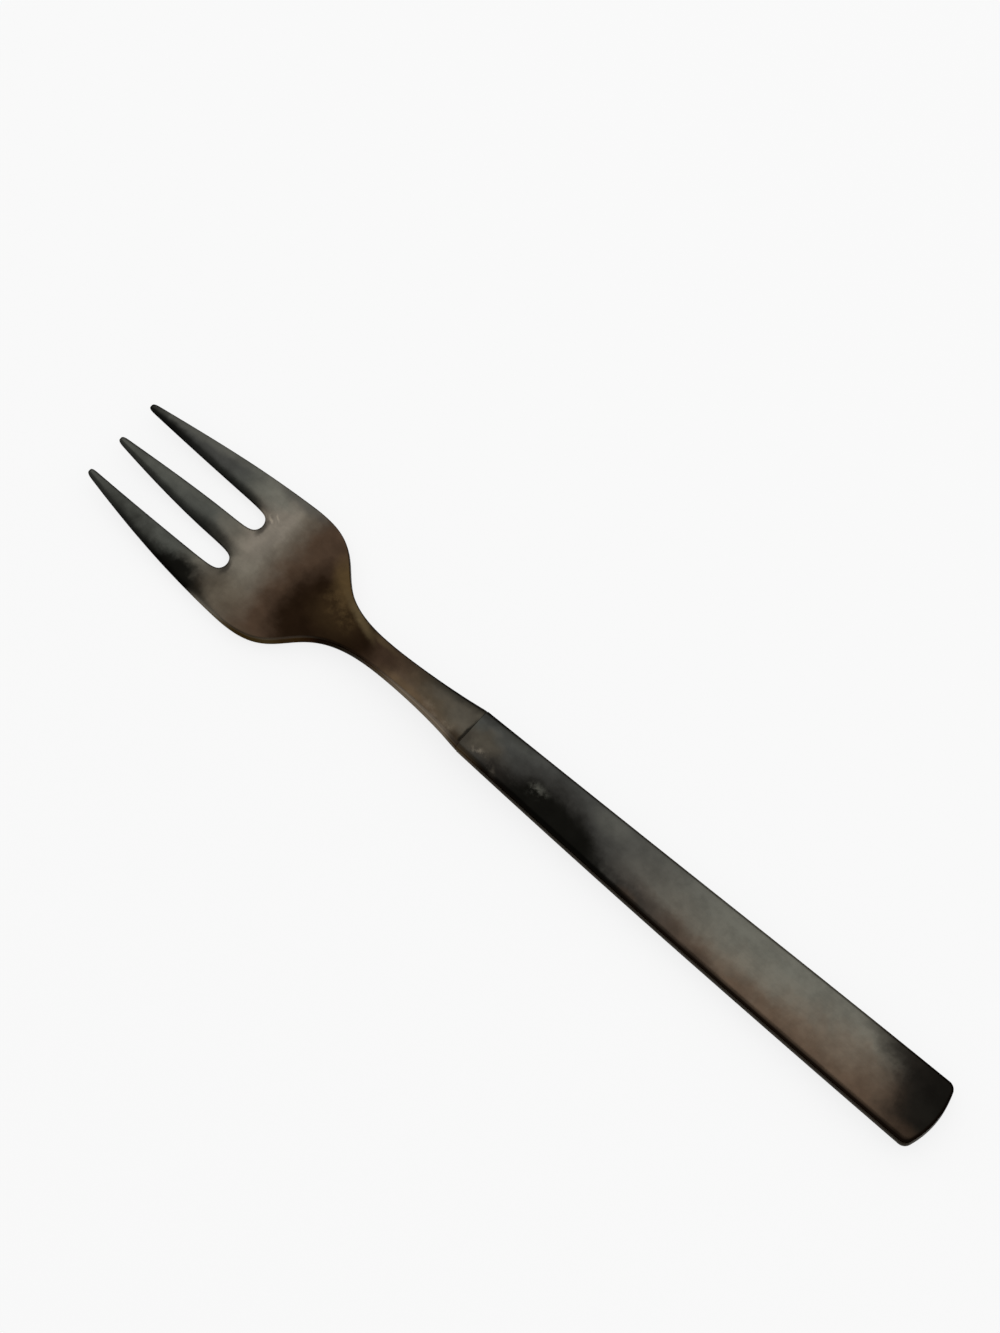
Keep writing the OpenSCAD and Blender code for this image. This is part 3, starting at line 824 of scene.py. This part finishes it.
def blackenedSteel(name, look):
    made, tree, shader, place, point = newMaterial(name)
    loose = point  # clouds have ragged edges, and small marks nearly keep their outline
    for settings, reach in steelGrain["looseWarps"]:
        loose = warped(tree, loose, settings, reach)
    close = warped(tree, point, *steelGrain["closeWarp"])
    colour = layPatches(tree, finishes[look["ground"]], loose, look["clouds"])
    colour = layPatches(tree, colour, close, look["tints"])

    # Soft clouds in the tone, faint wiping marks along the fork, and fine pits
    mottle = noise(tree, point, *steelGrain["mottle"])["Fac"]
    wiped = addNode(tree, "ShaderNodeMapping", {"Vector": point, "Scale": steelGrain["streakStretch"]})
    streak = noise(tree, wiped.outputs[0], *steelGrain["streak"])["Fac"]
    pits = noise(tree, point, *steelGrain["pits"])["Fac"]
    tone = calc(tree, "ADD", fade(tree, mottle, *noiseRange, *steelGrain["mottleTone"]),
                fade(tree, streak, *noiseRange, *steelGrain["streakTone"]))
    colour = scaled(tree, colour, tone)

    # Painted shade: the steep sides take the look's side finish, far more on the near side than the far
    # one, partly as blackening kept on the sides. Then marks are laid along the steep rims, among them
    # painted highlights and painted dark lines
    facing = addNode(tree, "ShaderNodeSeparateXYZ", {"Vector": place["Normal"]}).outputs
    lean = calc(tree, "ABSOLUTE", facing["Z"])
    sideShade = calc(tree, "MULTIPLY", fade(tree, facing["Y"], *steelGrain["sideTurn"], *look["sideAmount"]),
                fade(tree, lean, *look["sideDark"], 1.0, 0.0))
    colour = blend(tree, sideShade, colour, finishes[look["sides"]])
    rim = fade(tree, lean, *steelGrain["edgeLean"], 1.0, 0.0)
    colour = layPatches(tree, colour, close, look["edges"], rim)
    specks = fade(tree, noise(tree, point, *steelGrain["specks"])["Fac"], *steelGrain["speckRange"])
    colour = layPatches(tree, colour, close, look["scuffsAndGlints"], specks)
    tree.links.new(colour, shader.inputs["Base Color"])
    rough = calc(tree, "ADD", fade(tree, mottle, *noiseRange, *steelGrain["mottleRough"]),
                 fade(tree, streak, *noiseRange, *steelGrain["streakRough"]))
    tree.links.new(rough, shader.inputs["Roughness"])
    shader.inputs["Metallic"].default_value = 1.0
    shader.inputs["Specular Tint"].default_value = steelGrain["grazing"]
    height = calc(tree, "MULTIPLY", calc(tree, "ADD", pits, streak), 0.5)
    bump = addNode(tree, "ShaderNodeBump", {"Strength": steelGrain["bumpStrength"],
                                            "Distance": steelGrain["bumpDepth"], "Height": height})
    tree.links.new(bump.outputs[0], shader.inputs["Normal"])
    return made


# Cement round the tang and solder along the seam, both inside the handle
cementLook = {
    "colour": (0.46, 0.39, 0.29),
    "dark": (0.34, 0.29, 0.21),
    "rough": (0.77, 0.93),
    "metal": 0.0,
    "grain": 2.2,
    "bumpStrength": 0.4,
    "bumpDepth": 0.00008,
}
solderLook = {
    "colour": (0.58, 0.56, 0.51),
    "dark": (0.43, 0.42, 0.38),
    "rough": (0.30, 0.46),
    "metal": 1.0,
    "grain": 1.4,
    "bumpStrength": 0.4,
    "bumpDepth": 0.00008,
}


def grainyFill(name, look):
    made, tree, shader, _, point = newMaterial(name)
    coarse = noise(tree, point, look["grain"], 5.0)["Fac"]
    share = fade(tree, coarse, *noiseRange)
    rough = fade(tree, coarse, *noiseRange, *look["rough"])
    tree.links.new(blend(tree, share, look["dark"], look["colour"]), shader.inputs["Base Color"])
    tree.links.new(rough, shader.inputs["Roughness"])
    shader.inputs["Metallic"].default_value = look["metal"]
    bump = addNode(tree, "ShaderNodeBump", {"Strength": look["bumpStrength"],
                                            "Distance": look["bumpDepth"], "Height": coarse})
    tree.links.new(bump.outputs[0], shader.inputs["Normal"])
    return made


# Pieces on the frame
def dress(piece, material, node):
    piece.data.materials.clear()
    piece.data.materials.append(material)
    if piece.name != node:  # a CAD node rides on its body already
        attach(piece, "root")
        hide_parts(node)


bpy.ops.object.select_all(action="DESELECT")
forkHead = makeHead()
print("head modelled,", len(forkHead.data.polygons), "faces")
bpy.ops.object.select_all(action="DESELECT")
topShell = makeShell("handleTop", 1)
bpy.ops.object.select_all(action="DESELECT")
bottomShell = makeShell("handleBottom", -1)
print("handle modelled,", len(topShell.data.polygons) + len(bottomShell.data.polygons), "faces")

headSteel = blackenedSteel("headSteel", headLook)
handleSteel = blackenedSteel("handleSteel", handleLook)
dress(forkHead, headSteel, "fork_head")
dress(topShell, handleSteel, "handle_top_shell")
dress(bottomShell, handleSteel, "handle_bottom_shell")
dress(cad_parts["tang_cement"], grainyFill("cement", cementLook), "tang_cement")
dress(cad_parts["seam_solder"], grainyFill("solder", solderLook), "seam_solder")
print("pieces dressed")

# Floor, light and camera
studio = {
    "floorSize": 8.0,
    "floorColour": (0.95, 0.95, 0.95, 1),
    "floorGrain": 0.06,     # clouds per millimetre in its roughness
    "floorRange": (0.2, 0.8),
    "floorRough": (0.85, 0.95),
    "floorGlow": (0.922, 0.922, 0.922, 1),  # what the camera and the steel see besides the lit floor
    "glowShare": 0.88,
    "worldLevel": 0.55,
    "lightSize": 6.0,
    "lightAt": (0.0, 2.55, 1.2),
    "lightLevel": 1.0,     # with the world, this lights the floor at about its written colour
}


def makeFloor():
    bpy.ops.object.select_all(action="DESELECT")
    bpy.ops.mesh.primitive_plane_add(size=studio["floorSize"], location=(0, 0, 0))
    floor = bpy.context.object
    floor.name = "floor"
    made, tree, shader, _, point = newMaterial("paleFloor")
    cloudy = noise(tree, point, studio["floorGrain"])["Fac"]
    shader.inputs["Base Color"].default_value = studio["floorColour"]
    shader.inputs["Specular IOR Level"].default_value = 0.0
    rough = fade(tree, cloudy, *studio["floorRange"], *studio["floorRough"])
    tree.links.new(rough, shader.inputs["Roughness"])
    ray = addNode(tree, "ShaderNodeLightPath").outputs
    seen = calc(tree, "MAXIMUM", ray["Is Camera Ray"], ray["Is Glossy Ray"])
    seen = calc(tree, "MAXIMUM", seen, ray["Is Transmission Ray"])
    glow = addNode(tree, "ShaderNodeEmission", {"Color": studio["floorGlow"]})
    both = addNode(tree, "ShaderNodeMixShader", {0: calc(tree, "MULTIPLY", seen, studio["glowShare"]),
                                                 1: shader.outputs[0], 2: glow.outputs[0]})
    tree.links.new(both.outputs[0], tree.nodes["Material Output"].inputs["Surface"])
    floor.data.materials.append(made)


def makeLight():
    world = bpy.data.worlds.new("studio")
    bpy.context.scene.world = world
    world.use_nodes = True
    sky = world.node_tree.nodes["Background"]
    sky.inputs["Color"].default_value = (1, 1, 1, 1)
    sky.inputs["Strength"].default_value = studio["worldLevel"]
    light = bpy.data.lights.new("softbox", "AREA")
    light.shape = "SQUARE"
    light.size = studio["lightSize"]
    light.energy = studio["lightLevel"] * math.pi * studio["lightSize"] ** 2
    lamp = bpy.data.objects.new("softbox", light)
    lamp.location = studio["lightAt"]
    bpy.context.scene.collection.objects.link(lamp)


shot = {  # the photograph's viewing angle
    "azimuth": 41.12,
    "elevation": 72.27,
    "distance": 0.6,
    "aim": (-0.01211, 0.01002, 0.002),
    "lens": 115.76,
    "sensor": 36.0,
    "nearest": 0.01,
}


def makeCamera():
    azimuth, elevation = math.radians(shot["azimuth"]), math.radians(shot["elevation"])
    back = Vector((math.sin(azimuth) * math.cos(elevation), -math.cos(azimuth) * math.cos(elevation),
                   math.sin(elevation)))
    view = bpy.data.cameras.new("camera")
    view.lens = shot["lens"]
    view.sensor_width = shot["sensor"]
    view.clip_start = shot["nearest"]
    camera = bpy.data.objects.new("camera", view)
    camera.location = Vector(shot["aim"]) + back * shot["distance"]
    camera.rotation_mode = "QUATERNION"
    camera.rotation_quaternion = (-back).to_track_quat("-Z", "Y")
    bpy.context.scene.collection.objects.link(camera)
    bpy.context.scene.camera = camera


makeFloor()
makeLight()
makeCamera()
bpy.context.scene.view_settings.view_transform = "Standard"
print("studio and camera ready")
